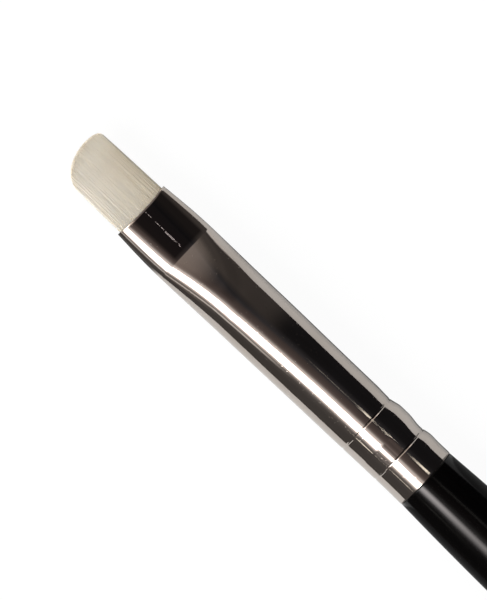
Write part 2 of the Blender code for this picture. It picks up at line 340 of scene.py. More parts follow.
# %% [markdown]
# ## A light tent for the reflections
#
# Polished metal shows its surroundings, so a product photographer builds what it reflects. From
# above, a point on a round tube whose normal leans by an angle mirrors what lies at twice that
# angle from straight up. So each band along the ferrule is a band of the surroundings. Here they
# are one long tent round the brush: a cylinder whose inside glows by its angle from straight up,
# counted towards -Y. The table cuts it off below. Only reflections see it.
#
# The list gives the glow at each angle: a dark wall on the far side, a dim ceiling round the
# camera, a softbox with soft edges and a bright core, and a dark wall on the near side. Only the
# core is bright enough to show as a stripe on black lacquer, while metal shows the whole softbox
# as white. The far wall is a little blue and the ceiling a little red, as they are in the metal.

# %% Glow round the tent
TENT_RADIUS = 0.15
TENT_HALF_LENGTH = 0.35
GLOW_AT_ANGLE = (
    (-120, 0.02), (-60, 0.014), (-38, 0.016), (-29, 0.035), (-20, 0.06), (-10, 0.095), (0, 0.125),
    (6, 0.21), (10, 0.42), (13, 0.9), (17, 1.1), (19.5, 1.8), (22, 8.5), (25, 17.5), (28, 24.0),
    (31, 26.5), (34, 21.5), (38, 14.5), (41, 9.8), (43.5, 2.3), (46, 1.1), (48.5, 0.8), (51, 0.3),
    (60, 0.12), (75, 0.09), (120, 0.08),
)
FAR_WALL_UP_TO = -20
SOFTBOX_FROM = 10
COOL_DARK = (0.85, 0.83, 0.93)
WARM_DIM = (1.0, 0.81, 0.78)
WARM_CORE = (1.0, 0.93, 0.91)
RAMP_REACH = 120
BRIGHTEST = max(glow for angle, glow in GLOW_AT_ANGLE)

tent_glow, output = new_material("tent_glow")
x, y, z = object_place()
along = minus(x, camera.location.x)
leaning = combine("ARCTAN2", times(y, -1.0), minus(z, AXIS_Z))
angle = combine("DEGREES", leaning)


def glow_ramp(value):
    """Colour ramp through the list of angles and glows."""
    ramp = add_node("ValToRGB")
    feed(to_range(value, -RAMP_REACH, RAMP_REACH, 0, 1), ramp.inputs["Fac"])
    stops = ramp.color_ramp.elements
    while len(stops) < len(GLOW_AT_ANGLE):
        stops.new(0.5)
    for stop, (at, glow) in zip(stops, GLOW_AT_ANGLE):
        stop.position = (at + RAMP_REACH) / (2 * RAMP_REACH)
        tint = COOL_DARK if at <= FAR_WALL_UP_TO else WARM_DIM if at < SOFTBOX_FROM else WARM_CORE
        stop.color = (*(glow / BRIGHTEST * channel for channel in tint), 1)
    return ramp.outputs["Color"]


print(len(GLOW_AT_ANGLE), "glows, brightest", BRIGHTEST)

# %% [markdown]
# The softbox isn't parallel to the brush. Towards the hair it hangs lower, so there its angles
# shift. Over the front of the brush only metal mirrors it, and metal needs far less light than
# lacquer to look white. So a veil holds its core back there, or the surplus would fray the edges
# of the white band. Lengths in the tent count in millimetres from under the camera, with the
# handle's side positive.

# %% Softbox
SHIFT = 15.5
SHIFT_BETWEEN = (-5, 22)
VEILED_GLOW = 5
VEIL_BETWEEN = (4, 14)


def lengthwise(places, values, curve="SMOOTHSTEP"):
    """Value that changes along the tent, from one place to another."""
    start, end = places
    return to_range(along, start * MM, end * MM, *values, curve)


shifted = minus(angle, lengthwise(SHIFT_BETWEEN, (SHIFT, 0)))
veil = add_node("VectorMath")
veil.operation = "MINIMUM"
feed(glow_ramp(shifted), veil.inputs[0])
feed(lengthwise(VEIL_BETWEEN, (VEILED_GLOW / BRIGHTEST, 1), "LINEAR"), veil.inputs[1])
softbox = veil.outputs[0]
print("softbox shifts by", SHIFT, "degrees, veiled to", VEILED_GLOW)

# %% [markdown]
# Two more things change its strength. Straight over the pressed flats hangs the dark side of the
# camera, so the tent is shaded there, though only close to straight up. And along the handle the
# core fades, as the stripe on the lacquer does, while the rest of the softbox stays.

# %% Shade and fading core
CAMERA_SHADE = 0.75
SHADE_FROM = (-64, -48)
SHADE_TO = (-37, -20)
SHADE_ANGLES = (2, 13)
CORE_ANGLE = 31
CORE_EDGES = (10, 13)
FADED_CORE = 0.45
FADE_BETWEEN = (18, 30)

beside_shade = combine(
    "MAXIMUM",
    lengthwise(SHADE_FROM, (1, CAMERA_SHADE)),
    lengthwise(SHADE_TO, (CAMERA_SHADE, 1)),
)
from_top = combine("ABSOLUTE", angle)
not_over_flats = to_range(from_top, *SHADE_ANGLES, 0, 1, "SMOOTHSTEP")
shade = combine("MAXIMUM", beside_shade, not_over_flats)

from_core = combine("ABSOLUTE", minus(angle, CORE_ANGLE))
core_fade = combine(
    "MAXIMUM",
    lengthwise(FADE_BETWEEN, (1, FADED_CORE), "LINEAR"),
    to_range(from_core, *CORE_EDGES, 0, 1),
)
softbox_strength = times(shade, core_fade, BRIGHTEST)
print("shade", CAMERA_SHADE, "over the flats, core down to", FADED_CORE)

# %% [markdown]
# The rest of the tent is dim. The ceiling gets brighter far out over the hair, and ends in a
# bright doorway there, which the shoulder behind the flats mirrors. The far wall glows up to just
# behind the camera, and the near wall only over the front.

# %% Ceiling and walls
CEILING_GLOW = 0.32
CEILING_BETWEEN = (-135, -70)
DOORWAY_GLOW = 0.6
DOORWAY_BETWEEN = (-170, -130)
OVERHEAD_FAR_SHARE = 0.7
FAR_SIDE_ANGLES = (-110, -50)
FAR_WALL = 0.072
FAR_WALL_ANGLES = (-30, -6)
FAR_WALL_DIMS = (-60, 3)
FAR_WALL_SHARE = 0.68
FAR_WALL_END = (3, 8)
SHADED_WALL = 0.8
NEAR_WALL = 0.1
NEAR_WALL_ANGLES = (62, 75)
NEAR_WALL_END = (-40, -10)

ceiling = lengthwise(CEILING_BETWEEN, (CEILING_GLOW, 0))
doorway = lengthwise(DOORWAY_BETWEEN, (DOORWAY_GLOW, 0), "LINEAR")
overhead = times(plus(ceiling, doorway), to_range(angle, *FAR_SIDE_ANGLES, OVERHEAD_FAR_SHARE, 1))
far_wall = times(
    to_range(angle, *FAR_WALL_ANGLES, FAR_WALL, 0, "SMOOTHSTEP"),
    lengthwise(FAR_WALL_DIMS, (1, FAR_WALL_SHARE), "LINEAR"),
    lengthwise(FAR_WALL_END, (1, 0)),
    to_range(beside_shade, CAMERA_SHADE, 1, SHADED_WALL, 1),
)
near_wall = times(
    to_range(angle, *NEAR_WALL_ANGLES, 0, NEAR_WALL, "SMOOTHSTEP"),
    lengthwise(NEAR_WALL_END, (1, 0)),
)
walls = plus(overhead, far_wall, near_wall)
print("ceiling", CEILING_GLOW, "doorway", DOORWAY_GLOW)

# %% [markdown]
# Two sharp things are left. Low on the far side the paper curves up white, and its edge sinks
# behind the table where the round tube begins. Below the softbox a thin rod of its frame shines,
# which makes the fine bright line under the white band. It hangs over the front only.

# %% Far paper and the softbox's rod
FAR_PAPER = 0.75
PAPER_EDGE = (-82, -77)
PAPER_SHIFT = (-4, 13)
PAPER_SHIFT_BETWEEN = (-50, -12)
ROD_GLOW = 0.7
ROD_EDGES = ((53.5, 55.0), (59.0, 60.5))
ROD_SHIFT = 5
ROD_SHIFT_BETWEEN = (-45, -20)
ROD_END = (6, 12)

paper_angle = plus(angle, lengthwise(PAPER_SHIFT_BETWEEN, PAPER_SHIFT))
far_paper = to_range(paper_angle, *PAPER_EDGE, FAR_PAPER, 0, "SMOOTHSTEP")
rod_angle = minus(shifted, lengthwise(ROD_SHIFT_BETWEEN, (ROD_SHIFT, 0), "LINEAR"))
rod = times(
    hill(rod_angle, *ROD_EDGES, "SMOOTHSTEP"), ROD_GLOW, lengthwise(ROD_END, (1, 0))
)
paper_and_rod = plus(far_paper, rod)
print("far paper", FAR_PAPER, "rod", ROD_GLOW)

# %% [markdown]
# Emissions of the three tints are added up. Far out over the handle the tent goes dark.

# %% Hang the tent
DARK_BETWEEN = (190, 230)
WALL_TINT = (1.0, 0.87, 0.79)
PAPER_TINT = (1.0, 0.98, 0.96)
TENT_SIDES = 180


def glow_of(colour, strength):
    """Emission of a colour and a strength."""
    emission = add_node("Emission")
    feed(colour, emission.inputs["Color"])
    feed(strength, emission.inputs["Strength"])
    return emission.outputs[0]


def add_glows(first, second):
    """Sum of two emissions."""
    both = add_node("AddShader")
    feed(first, both.inputs[0])
    feed(second, both.inputs[1])
    return both.outputs[0]


def only_in_reflections(card):
    """Hides a card from everything but glossy rays."""
    for rays in ("camera", "diffuse", "transmission", "volume_scatter", "shadow"):
        setattr(card, "visible_" + rays, False)


dim_glows = add_glows(glow_of(WALL_TINT, walls), glow_of(PAPER_TINT, paper_and_rod))
glows = add_glows(glow_of(softbox, softbox_strength), dim_glows)
dark_end = add_node("MixShader")
feed(lengthwise(DARK_BETWEEN, (1, 0), "LINEAR"), dark_end.inputs["Fac"])
feed(glow_of((0.0, 0.0, 0.0), 0.0), dark_end.inputs[1])
feed(glows, dark_end.inputs[2])
feed(dark_end.outputs[0], output.inputs["Surface"])

bpy.ops.object.select_all(action="DESELECT")
bpy.ops.mesh.primitive_cylinder_add(
    vertices=TENT_SIDES,
    radius=TENT_RADIUS,
    depth=2 * TENT_HALF_LENGTH,
    location=(camera.location.x, 0, AXIS_Z),
    rotation=(0, math.pi / 2, 0),
)
tent = bpy.context.object
tent.name = "light_tent"
bpy.ops.object.transform_apply()
tent.data.materials.append(tent_glow)
only_in_reflections(tent)
print("tent", 2 * TENT_HALF_LENGTH, "m long")

# %% [markdown]
# Small cards finish the set. A dark strip stands on the table, 15 mm from the axis on the near
# side, and gives the dark band low there. Seven short glowing cards hang in two rows, one on each
# side of the softbox, and make the sharp strokes and the dot of light on the tube. Each row of
# the list is one card: how far it leans, how far behind the camera it hangs, how long and how
# wide it is, and how strongly it glows.

# %% Table strip and glint cards
STRIP_AWAY = 0.0155
STRIP_HEIGHT = 5.5 * MM
GLINTS_AWAY = 0.145
GLINTS = (
    (-19.7, 0.0160, 0.0062, 0.002, 0.4), (-19.7, 0.0203, 0.0010, 0.015, 2.6),
    (-19.7, 0.0238, 0.0003, 0.015, 5.5), (-19.7, 0.0293, 0.0019, 0.016, 2.3),
    (61.0, 0.0229, 0.0026, 0.008, 2.1), (61.0, 0.0277, 0.0009, 0.008, 1.7),
    (61.0, 0.0304, 0.0008, 0.008, 1.7),
)


def hang_card(name, lean, away, along, length, width, colour, strength):
    """Flat card that faces the brush, leaning towards -Y, and along it from the camera."""
    turn = math.radians(lean)
    bpy.ops.object.select_all(action="DESELECT")
    bpy.ops.mesh.primitive_plane_add(size=1, rotation=(turn, 0, 0))
    card = bpy.context.object
    card.name = name
    card.scale = (length, width, 1)
    outward = Vector((0, -math.sin(turn), math.cos(turn)))
    card.location = Vector((camera.location.x + along, 0, AXIS_Z)) + outward * away
    glowing, output = new_material(name)
    feed(glow_of(colour, strength), output.inputs["Surface"])
    card.data.materials.append(glowing)
    only_in_reflections(card)
    return card


table_strip = hang_card(
    "table_strip", 90, STRIP_AWAY, along=0.02, length=0.4, width=STRIP_HEIGHT,
    colour=(1.0, 0.93, 0.90), strength=0.09,
)
table_strip.location.z = STRIP_HEIGHT / 2
for number, (lean, along, length, width, strength) in enumerate(GLINTS):
    name = f"glint_lamp_{number}"
    hang_card(name, lean, GLINTS_AWAY, along, length, width, (1.0, 0.96, 0.85), strength)
print(1 + len(GLINTS), "cards")

# %% [markdown]
# ## The ferrule
#
# A ferrule is a thin seamless tube of nickel-plated brass. Two inclined jaws press its front into
# a wedge, which holds the hair flat, and two rolled grooves lock its back onto the handle. Here
# it is made much as in the workshop: a circle is pulled back into a tube ring by ring, and each
# ring is squeezed on its way. A section is a half width, a half thickness and the half width of
# its flats. Outside the flats it is half an ellipse on each side, and a circle has no flats.

# %% Sections of the ferrule
MOUTH = (2.85, 1.05, 0.95)
CREASE = (3.1, 1.55, 0.75)
CREASE_AT = 5.3
ROUND_FROM = 12.5
TUBE_RADIUS = 3.05
LIP_LENGTH = 0.22
LIP_DROP = 0.088

# Places of the crimped stretch, each with its reach towards +Y and towards -Y
CRIMPS = (
    (ROUND_FROM, TUBE_RADIUS, TUBE_RADIUS), (24.8, 2.955, 3.015), (26.57, 2.888, 3.008),
    (27.75, 3.085, 3.0), (28.6, 3.077, 2.995), (30.1, 2.911, 2.991), (31.3, 3.077, 2.991),
    (32.2, 3.034, 3.0), (FERRULE_LENGTH, 3.034, 3.025),
)
GROOVES = (FERRULE_LENGTH - 6.9, FERRULE_LENGTH - 3.05)
GROOVE_DEPTH = 0.05
GROOVE_EDGES = (-0.13, -0.035, 0.03, 0.09)
TOP_RADIUS = 3.0


def mix(start, end, share):
    """Value a share of the way from start to end."""
    return start + (end - start) * share


def ease(share):
    """Share that leaves and arrives gently."""
    return share * share * (3 - 2 * share)


def ease_out(share):
    """Share that leaves at once and arrives gently."""
    return math.sin(share * math.pi / 2)


def reaches(s):
    """How far the round stretch reaches towards +Y and towards -Y, without its grooves."""
    for (start, *low), (end, *high) in zip(CRIMPS, CRIMPS[1:]):
        if s <= end:
            share = ease(max(0, s - start) / (end - start))
            return mix(low[0], high[0], share), mix(low[1], high[1], share)


def groove_depth(s):
    """How deep the two thin grooves go. Their front wall is longer than their rear one."""
    front, floor_start, floor_end, rear = GROOVE_EDGES
    depth = 0
    for groove in GROOVES:
        down = (s - groove - front) / (floor_start - front)
        up = (groove + rear - s) / (rear - floor_end)
        depth += GROOVE_DEPTH * max(0, min(down, up, 1))
    return depth


def tube_radius(s):
    """Radius of the ferrule's round stretch on its straight side."""
    return reaches(s)[1] - groove_depth(s)


def ferrule_section(s):
    """Outside of the ferrule: half width, half thickness and half flat in millimetres."""
    if s <= CREASE_AT:
        share = s / CREASE_AT
        width = mix(MOUTH[0], CREASE[0], ease_out(share))
        lip = LIP_DROP * max(0, 1 - s / LIP_LENGTH) ** 2
        return width, mix(MOUTH[1], CREASE[1], share) - lip, mix(MOUTH[2], CREASE[2], share)
    if s < ROUND_FROM:
        share = (s - CREASE_AT) / (ROUND_FROM - CREASE_AT)
        width = mix(CREASE[0], TUBE_RADIUS, ease(share))
        share = ease_out(share)
        return width, mix(CREASE[1], TUBE_RADIUS, share), mix(CREASE[2], 0, share)
    share = ease(min(1, (s - ROUND_FROM) / (CRIMPS[1][0] - ROUND_FROM)))
    return tube_radius(s), mix(TUBE_RADIUS, TOP_RADIUS, share) - groove_depth(s), 0


print("mouth", ferrule_section(0), "tube", ferrule_section(20)[0])

# %% [markdown]
# These helpers do the pulling. They only press the buttons that a hand would press in edit mode:
# extrude and move, then resize about the ring's centre. To widen a flat, the ring's two halves
# are moved apart.

# %% Pull a tube ring by ring
SIDES = 96


def start_ring(name, s, sides=SIDES, radius=1.0):
    """Starts a piece as one circle across the brush, and stays in edit mode."""
    bpy.ops.object.select_all(action="DESELECT")
    bpy.ops.mesh.primitive_circle_add(
        vertices=sides, radius=radius * MM, location=on_axis(s), rotation=(0, math.pi / 2, 0)
    )
    piece = bpy.context.object
    piece.name = piece.data.name = name
    bpy.ops.object.transform_apply()
    bpy.ops.object.mode_set(mode="EDIT")
    bpy.ops.mesh.select_all(action="SELECT")
    bpy.ops.transform.rotate(value=math.pi / sides, orient_axis="X", center_override=on_axis(s))
    return piece


def extrude(run, rise=0):
    """Extrudes what is selected, and moves it along the brush and up."""
    bpy.ops.mesh.extrude_region_move(TRANSFORM_OT_translate={"value": (run * MM, 0, rise * MM)})


def shape_ring(piece, s, before, after):
    """Gives the selected ring a new section."""
    stretch = (after[0] - after[2]) / (before[0] - before[2])
    bpy.ops.transform.resize(value=(1, stretch, after[1] / before[1]), center_override=on_axis(s))
    apart = after[2] - stretch * before[2]
    if abs(apart) < 1e-6:
        return
    for side in (1, -1):
        edit = bmesh.from_edit_mesh(piece.data)
        ring = [v for v in edit.verts if v.select]
        for v in ring:
            v.select = v.co.y * side > 0
        edit.select_flush_mode()
        bpy.ops.transform.translate(value=(0, side * apart * MM, 0))
        for v in ring:
            v.select = True
        edit.select_flush_mode()


def pull_rings(piece, stations, section):
    """Pulls the selected ring of radius 1 through every station, and shapes it at each."""
    bpy.ops.mesh.select_mode(type="VERT")
    before = (1.0, 1.0, 0)
    shape_ring(piece, stations[0], before, section(stations[0]))
    for here, there in zip(stations, stations[1:]):
        extrude(there - here)
        shape_ring(piece, there, section(here), section(there))


def even_steps(start, end, count):
    """Places from start to end in equal steps, without the start."""
    return [mix(start, end, (i + 1) / count) for i in range(count)]


def face_outwards(piece):
    """Leaves edit mode with every face pointing away from the brush's axis."""
    bpy.ops.mesh.select_all(action="SELECT")
    bpy.ops.mesh.normals_make_consistent(inside=False)
    corners = [(f.normal, v.co) for f in bmesh.from_edit_mesh(piece.data).faces for v in f.verts]
    if sum(normal.y * at.y + normal.z * (at.z - AXIS_Z) for normal, at in corners) < 0:
        bpy.ops.mesh.flip_normals()
    bpy.ops.object.mode_set(mode="OBJECT")


def count_triangles(piece):
    """Triangles in a piece's mesh."""
    return sum(len(p.vertices) - 2 for p in piece.data.polygons)


print("rings can be pulled")

# %% [markdown]
# The rings lie close together where the light bends: at the crease behind the flats, over the
# shoulder that rolls up to the tube, and in the two grooves.

# %% Pull the ferrule
LIP_RINGS = [0, 0.04, 0.08, 0.12, 0.16, 0.2, 0.25]
BEFORE_CREASE = 5.15
CREASE_RINGS = [5.24, 5.3, 5.36, 5.45]
BEFORE_CRIMPS = 25.0
BEFORE_GROOVE = 0.14
GROOVE_RINGS = (-0.13, -0.12, -0.045, -0.035, -0.025, 0.02, 0.03, 0.04, 0.08, 0.09, 0.1)

stations = LIP_RINGS + even_steps(LIP_RINGS[-1], BEFORE_CREASE, 13)
stations += CREASE_RINGS + even_steps(CREASE_RINGS[-1], ROUND_FROM, 30)
stations += even_steps(ROUND_FROM, BEFORE_CRIMPS, 12)
for groove in GROOVES:
    stations += even_steps(stations[-1], groove - BEFORE_GROOVE, 16)
    stations += [groove + offset for offset in GROOVE_RINGS]
stations += even_steps(stations[-1], FERRULE_LENGTH, 16)
ferrule = start_ring("ferrule_tube", 0)
pull_rings(ferrule, stations, ferrule_section)
face_outwards(ferrule)
print("ferrule skin:", len(stations), "rings")

# %% [markdown]
# The tube gets its wall from a Solidify modifier and its soft rims from a Bevel. The mouth isn't
# cut square: it dips by 0.2 mm in the middle of each flat, because the metal creeps forward at
# the sides when the jaws close. So the points near the mouth slide back, most in the middle.
#
# The crimping jaws pressed harder on one side. There, at +Y, the outline swells and narrows by
# about 0.1 mm between the grooves, while the other side stays straight. The rings follow the
# straight side, and the points at +Y then move by the difference. A high power leaves the top of
# the tube where it is and moves only the outermost points in full.

# %% Wall, rims and mouth
WALL = 0.2
RIM_ROUND = 0.03
MOUTH_DIP = 0.22
DIP_FADES_BY = 2.0
WAVE_POWER = 4


def add_modifier(piece, kind, **settings):
    """Adds a modifier with its settings and applies it."""
    modifier = piece.modifiers.new(kind.title(), kind)
    for key, value in settings.items():
        setattr(modifier, key, value)
    bpy.context.view_layer.objects.active = piece
    bpy.ops.object.modifier_apply(modifier=modifier.name)


def shade_smooth(piece, degrees):
    """Smooth shading that keeps edges sharper than an angle."""
    bpy.ops.object.select_all(action="DESELECT")
    piece.select_set(True)
    bpy.context.view_layer.objects.active = piece
    bpy.ops.object.shade_smooth_by_angle(angle=math.radians(degrees))


add_modifier(ferrule, "SOLIDIFY", thickness=WALL * MM, offset=-1, use_even_offset=True)
add_modifier(
    ferrule, "BEVEL", width=RIM_ROUND * MM, segments=3, limit_method="ANGLE",
    angle_limit=math.radians(60),
)
for v in ferrule.data.vertices:
    s = (v.co.x - MOUTH_X) / MM
    if s < DIP_FADES_BY:
        across = min(1, abs(v.co.y) / (MOUTH[0] * MM))
        fade = (1 - max(0, s) / DIP_FADES_BY) ** 2
        v.co.x += MOUTH_DIP * MM * (1 - across * across) * fade
    elif s > ROUND_FROM and v.co.y > 0:
        waved, straight = reaches(min(s, FERRULE_LENGTH))
        v.co.y += (waved - straight) * MM * (v.co.y / (straight * MM)) ** WAVE_POWER
shade_smooth(ferrule, degrees=32)
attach(ferrule, "root")
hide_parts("ferrule")
print("ferrule:", count_triangles(ferrule), "triangles")

# %% [markdown]
# ## The handle
#
# The handle is turned on a lathe from one piece of hardwood. Its tenon fills the back of the
# ferrule, its shoulder stands against the rim, and behind the belly it slims down to the tail.
# Such a shape could be spun from an outline. Here the same rings make it, because its profile is
# then one short function, as the ferrule's is.

# %% Profile of the handle
SHOULDER_AT = FERRULE_LENGTH + 0.03
SHOULDER_RADIUS = 3.0
SHOULDER_ROUND = 0.08
BELLY_AT = FERRULE_LENGTH + 20.0
BELLY_RADIUS = 3.5
TAIL_RADIUS = 1.9
TAIL_DOME = 2.2
TENON_FROM = FERRULE_LENGTH - 13.0
TENON_CHAMFER = 0.6
TENON_GAP = 0.1
TAPER_POWER = 0.9


def handle_radius(s):
    """Radius of the handle, from its tenon to where the tail's dome begins."""
    if s < SHOULDER_AT:
        inside = min(reaches(min(s, FERRULE_LENGTH))) - groove_depth(s) - WALL - TENON_GAP
        return inside - max(0, TENON_FROM + TENON_CHAMFER - s)
    if s < BELLY_AT:
        left = (BELLY_AT - s) / (BELLY_AT - FERRULE_LENGTH)
        radius = mix(BELLY_RADIUS, SHOULDER_RADIUS, left * left)
        corner = max(0, 1 - (s - SHOULDER_AT) / SHOULDER_ROUND)
        return radius - SHOULDER_ROUND * (1 - math.sqrt(1 - corner * corner))
    if s < TAIL_END - TAIL_DOME:
        share = (s - BELLY_AT) / (TAIL_END - TAIL_DOME - BELLY_AT)
        return mix(BELLY_RADIUS, TAIL_RADIUS, share ** TAPER_POWER)
    rise = (s - TAIL_END + TAIL_DOME) / TAIL_DOME
    return TAIL_RADIUS * math.sqrt(max(0, 1 - rise * rise))


def handle_section(s):
    """Round section of the handle."""
    return handle_radius(s), handle_radius(s), 0


print("belly", handle_radius(BELLY_AT), "tail", handle_radius(TAIL_END - TAIL_DOME))

# %% [markdown]
# The tenon needs a few rings in each groove, and the shoulder's small round edge needs them close
# together. Its first ring is filled to close the tenon's end. The tail's dome ends in a pole,
# which is closed by merging the last ring.

# %% Pull the handle
TENON_RINGS = (-0.13, 0, 0.09, 1.0, 2.0)
SHOULDER_ANGLES = (0, 20, 40, 60, 75, 90)
DOME_ANGLES = range(8, 88, 8)

stations = [TENON_FROM, TENON_FROM + TENON_CHAMFER]
stations += even_steps(TENON_FROM + TENON_CHAMFER, GROOVES[0] - 0.2, 8)
stations += [groove + offset for groove in GROOVES for offset in TENON_RINGS]
stations += [FERRULE_LENGTH, SHOULDER_AT - 0.005]
stations += [
    SHOULDER_AT + SHOULDER_ROUND * (1 - math.cos(math.radians(a))) for a in SHOULDER_ANGLES
]
stations += [stations[-1] + behind for behind in (0.02, 0.05, 0.1, 0.2)]
stations += even_steps(stations[-1], BELLY_AT, 30)
stations += even_steps(BELLY_AT, TAIL_END - TAIL_DOME, 40)
stations += [TAIL_END - TAIL_DOME * (1 - math.sin(math.radians(a))) for a in DOME_ANGLES]
handle = start_ring("handle_stick", stations[0])
bpy.ops.mesh.edge_face_add()
pull_rings(handle, stations, handle_section)
extrude(TAIL_END - stations[-1])
bpy.ops.mesh.merge(type="CENTER")
face_outwards(handle)
shade_smooth(handle, degrees=32)
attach(handle, "root")
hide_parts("handle")
print("handle:", count_triangles(handle), "triangles")

# %% [markdown]
# ## The hair
#
# The hair is a bundle of straight nylon filaments, thinner than 0.1 mm, packed like pipes in the
# flat mouth and drawn together towards the tip. Its end is cut nearly square on one side and
# round on the other. One filament is modelled and copied: a slim five-sided tube with a slight
# bow, tapered at its tip. Each copy is turned about itself and stretched between its own root
# and tip, so the bows lean all ways and the bundle looks natural.

# %% Model one filament
FILAMENT_SIDES = 5
FILAMENT_RADIUS = 0.041
FILAMENT_LENGTH = 8.6
FILAMENT_BOW = 0.008
FILAMENT_RINGS = ((0, 1.0), (0.4, 1.0), (0.7, 0.95), (0.88, 0.8), (0.97, 0.62), (1.0, 0.45))

filament = start_ring("filament", 0, sides=FILAMENT_SIDES, radius=FILAMENT_RADIUS)
bpy.ops.mesh.edge_face_add()
for (here, thick), (there, thin) in zip(FILAMENT_RINGS, FILAMENT_RINGS[1:]):
    bow = FILAMENT_BOW * (math.sin(math.pi * there) - math.sin(math.pi * here))
    extrude((here - there) * FILAMENT_LENGTH, bow)
    slim = thin / thick
    middle = on_axis(-there * FILAMENT_LENGTH)
    middle.z += FILAMENT_BOW * math.sin(math.pi * there) * MM
    bpy.ops.transform.resize(value=(1, slim, slim), center_override=middle)
face_outwards(filament)
filament.data.transform(Matrix.Translation(-on_axis(0)))
print("filament:", count_triangles(filament), "triangles")

# %% [markdown]
# The roots are stacked in rows, each row shifted by half a pitch. A row is as long as the flat
# mouth is wide at its height. The tips follow the cut: from its crest a little off the middle,
# the end falls back along a quarter of a superellipse on each side. A higher power gives the
# squarer corner.

# %% Roots and tips of the hair
HAIR_OUT = 7.48
TIP_HALF_WIDTH = 2.49
TIP_HALF_THICKNESS = 0.42
TIP_CREST = 0.85
TIP_ROUNDING = 0.16
SQUARE_SIDE = (0.8, 2.5)
ROUND_SIDE = (2.4, 2.0)
FILAMENT_PITCH = 0.084
ROOTS_AT = 1.0
HAIR_GAP = 0.02


def hair_section(s, gap):
    """Room inside the ferrule, less a gap to its wall."""
    half_width, half_thickness, half_flat = ferrule_section(s)
    return half_width - WALL - gap, half_thickness - WALL - gap, half_flat


def tip_drop(y):
    """How far the hair's end falls back from its crest, y millimetres across the brush."""
    if y > TIP_CREST:
        (drop, power), edge = SQUARE_SIDE, TIP_HALF_WIDTH
    else:
        (drop, power), edge = ROUND_SIDE, -TIP_HALF_WIDTH
    share = min(1, (y - TIP_CREST) / (edge - TIP_CREST))
    return drop * (1 - (1 - share ** power) ** (1 / power))


def filament_ends():
    """Root and tip of every filament, in millimetres along, across and up."""
    half_width, half_thickness, half_flat = hair_section(0, HAIR_GAP + FILAMENT_RADIUS)
    row_height = FILAMENT_PITCH * math.sqrt(3) / 2
    rows = int(2 * half_thickness / row_height) + 1
    ends = []
    for row in range(rows):
        z = (row - (rows - 1) / 2) * row_height
        layer = z / half_thickness
        reach = half_flat + (half_width - half_flat) * math.sqrt(1 - layer * layer)
        count = int(2 * reach / FILAMENT_PITCH)
        for i in range(count + 1):
            y = (i - count / 2) * 2 * reach / max(1, count)
            tip_y = y / half_width * TIP_HALF_WIDTH
            tip_s = tip_drop(tip_y) + TIP_ROUNDING * layer * layer - HAIR_OUT
            ends.append(((ROOTS_AT, y, z), (tip_s, tip_y, layer * TIP_HALF_THICKNESS)))
    return ends


ends = filament_ends()
print(len(ends), "filaments")

# %% [markdown]
# Each copy has its own mesh and carries its own tone as an attribute, because real filaments
# differ a little in how much light they let through. The tips miss their place by chance, mostly
# along the brush, as a trimmed bundle's do.

# %% Copy the filament
TIP_JITTER = (0.02, 0.006, 0.002)

draw = random.Random(11)


def copy_filament(root, tip):
    """One filament from its root to its tip, turned about itself by chance."""
    start = on_axis(root[0]) + Vector((0, *root[1:])) * MM
    end = on_axis(tip[0]) + Vector((0, *tip[1:])) * MM
    along = (start - end) / (FILAMENT_LENGTH * MM)
    roll = draw.uniform(0, 2 * math.pi)
    side = Vector((0, math.cos(roll), math.sin(roll)))
    up = Vector((0, -math.sin(roll), math.cos(roll)))
    mesh = filament.data.copy()
    mesh.transform(Matrix((along, side, up)).transposed().to_4x4())
    mesh.transform(Matrix.Translation(start))
    tone = mesh.attributes.new("tone", "FLOAT", "POINT")
    tone.data.foreach_set("value", [draw.random()] * len(mesh.vertices))
    strand = bpy.data.objects.new("strand", mesh)
    scene.collection.objects.link(strand)
    return strand


bpy.ops.object.select_all(action="DESELECT")
for root, tip in ends:
    missed = [place + draw.gauss(0, spread) for place, spread in zip(tip, TIP_JITTER)]
    strand = copy_filament(root, missed)
    strand.select_set(True)
bpy.context.view_layer.objects.active = strand
bpy.ops.object.join()
hair = bpy.context.object
hair.name = hair.data.name = "nylon_hair"
bpy.data.objects.remove(filament)
shade_smooth(hair, degrees=80)
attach(hair, "root")
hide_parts("bristle_tuft")
print("hair:", count_triangles(hair), "triangles")

# %% [markdown]
# Inside the ferrule the roots are one solid bundle, soaked with glue. It fills the wedge and is
# drawn in to a round bundle, which the thread ties. None of it can be seen on a whole brush, but
# the CAD solid that the hair stands for has it, so it is here too.

# %% Pull the root bundle
BUNDLE_FROM = 1.05
NECKING_END = CREASE_AT + 3.4
ROOTS_END = 11.6
SEAT_GAP = 0.1

mouth_room = hair_section(LIP_LENGTH, SEAT_GAP)
bundle_area = math.pi * (mouth_room[0] - mouth_room[2]) * mouth_room[1]
bundle_area += 4 * mouth_room[2] * mouth_room[1]
BUNDLE_RADIUS = math.sqrt(bundle_area / math.pi)


def roots_section(s):
    """Section of the roots: flat in the wedge, then round."""
    if s <= CREASE_AT:
        return hair_section(s, SEAT_GAP)
    share = ease(min(1, (s - CREASE_AT) / (NECKING_END - CREASE_AT)))
    wide = hair_section(CREASE_AT, SEAT_GAP)
    bundle = (BUNDLE_RADIUS, BUNDLE_RADIUS, 0)
    return tuple(mix(flat, round_one, share) for flat, round_one in zip(wide, bundle))


stations = [BUNDLE_FROM] + even_steps(BUNDLE_FROM, CREASE_AT, 6)
stations += even_steps(CREASE_AT, NECKING_END, 12) + even_steps(NECKING_END, ROOTS_END, 6)
roots = start_ring("hair_roots", BUNDLE_FROM)
bpy.ops.mesh.edge_face_add()
pull_rings(roots, stations, roots_section)
face_outwards(roots)
shade_smooth(roots, degrees=40)
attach(roots, "root")
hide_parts("bristle_tuft")
print("roots:", count_triangles(roots), "triangles")

